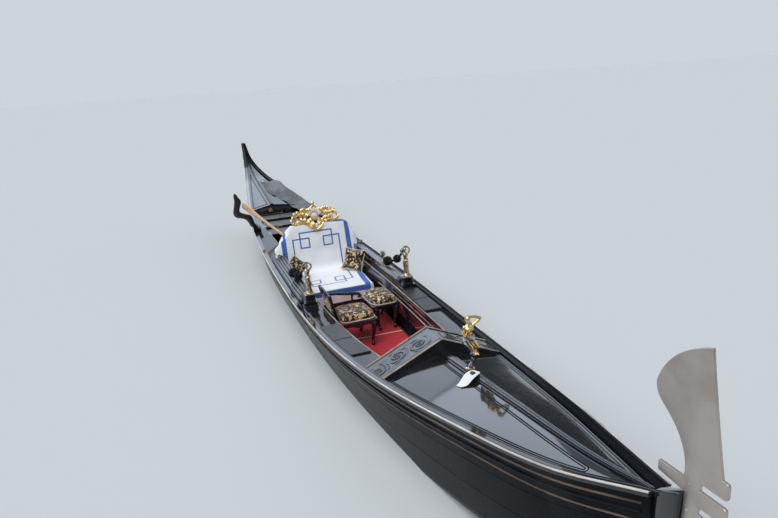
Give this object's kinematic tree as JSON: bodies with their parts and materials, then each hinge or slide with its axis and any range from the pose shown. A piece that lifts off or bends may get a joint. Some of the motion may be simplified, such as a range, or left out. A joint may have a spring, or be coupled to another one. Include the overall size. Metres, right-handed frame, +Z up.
{
  "type": "gondola boat",
  "caption": "Long narrow flat-bottomed gondola boat, black lacquered, with a toothed bow iron, carved oarlock, stowed oar, padded seat with gilt crest, low chairs and locker doors.",
  "frame": {"origin": "amidships on the centreline at the waterline", "axes": "+X towards the bow, +Y to port, +Z up"},
  "size_m": [10.781, 1.4982, 1.8102],
  "materials": {
    "black_lacquer": "deep gloss black lacquer",
    "matt_black": "matt black paint",
    "gilt": "polished gilding",
    "brass": "aged brass",
    "bow_iron": "brushed",
    "oar_wood": "oiled",
    "dark_walnut": "satin",
    "spotted_fabric": "short pile, spotted, with white piping",
    "towelling": "terry cloth with a blue woven border",
    "red_carpet": "cut pile",
    "black_wool": "wool tufts",
    "grey_cloth": "woven cover",
    "white_card": "plain"
  },
  "bodies": {
    "hull": {"hull_bottom": "black_lacquer", "port_side": "black_lacquer", "port_gunwale": "black_lacquer", "starboard_side": "black_lacquer", "starboard_gunwale": "black_lacquer", "bow_stem": "black_lacquer", "stern_post": "black_lacquer", "foredeck_port": "black_lacquer", "foredeck_starboard": "black_lacquer", "foredeck_ridge": "black_lacquer", "stern_deck_port": "black_lacquer", "stern_deck_starboard": "black_lacquer", "stern_deck_ridge": "black_lacquer", "carved_board": "matt_black", "bow_bulkhead": "black_lacquer", "bow_door_hinge": "brass", "stern_bulkhead": "black_lacquer", "stern_door_hinge": "brass", "stern_step_lower": "black_lacquer", "stern_step_middle": "black_lacquer", "stern_step_upper": "black_lacquer", "aft_thwart_board": "black_lacquer", "cockpit_floor": "matt_black", "floor_bearer": "matt_black", "red_carpet": "red_carpet", "port_side_deck": "black_lacquer", "port_tread_board": "matt_black", "port_inner_panel": "black_lacquer", "port_carved_rail": "black_lacquer", "starboard_side_deck": "black_lacquer", "starboard_tread_board": "matt_black", "starboard_inner_panel": "black_lacquer", "starboard_carved_rail": "black_lacquer", "bow_iron": "bow_iron", "seat_base": "black_lacquer", "seat_cushion": "spotted_fabric", "seat_back": "black_lacquer", "towel": "towelling", "seat_crest": "gilt", "starboard_pillow": "spotted_fabric", "port_pillow": "spotted_fabric", "port_rail_figure": "brass", "port_tassels": "black_wool", "starboard_rail_figure": "brass", "starboard_tassels": "black_wool", "port_rail_rosette": "brass", "chair_frame": "black_lacquer", "chair_seat": "spotted_fabric", "chair_back_pad": "spotted_fabric", "stool_frame": "black_lacquer", "stool_seat": "spotted_fabric", "forcola_block": "black_lacquer", "forcola": "dark_walnut", "oar": "oar_wood", "foredeck_figure": "gilt", "white_card": "white_card", "stern_cover": "grey_cloth"},
    "bow_door": {"bow_locker_door": "black_lacquer"},
    "stern_door": {"stern_locker_door": "black_lacquer"}
  },
  "joints": [
    {"name": "bow_locker_door_hinge", "type": "hinge", "parent": "hull", "child": "bow_door", "pos_m": [2.641, -0.12, 0.235], "axis": [0, 0, 1], "range_deg": [0, 100]},
    {"name": "stern_locker_door_hinge", "type": "hinge", "parent": "hull", "child": "stern_door", "pos_m": [-2.986, -0.03, 0.65], "axis": [0, 1, 0], "range_deg": [0, 90]}
  ]
}
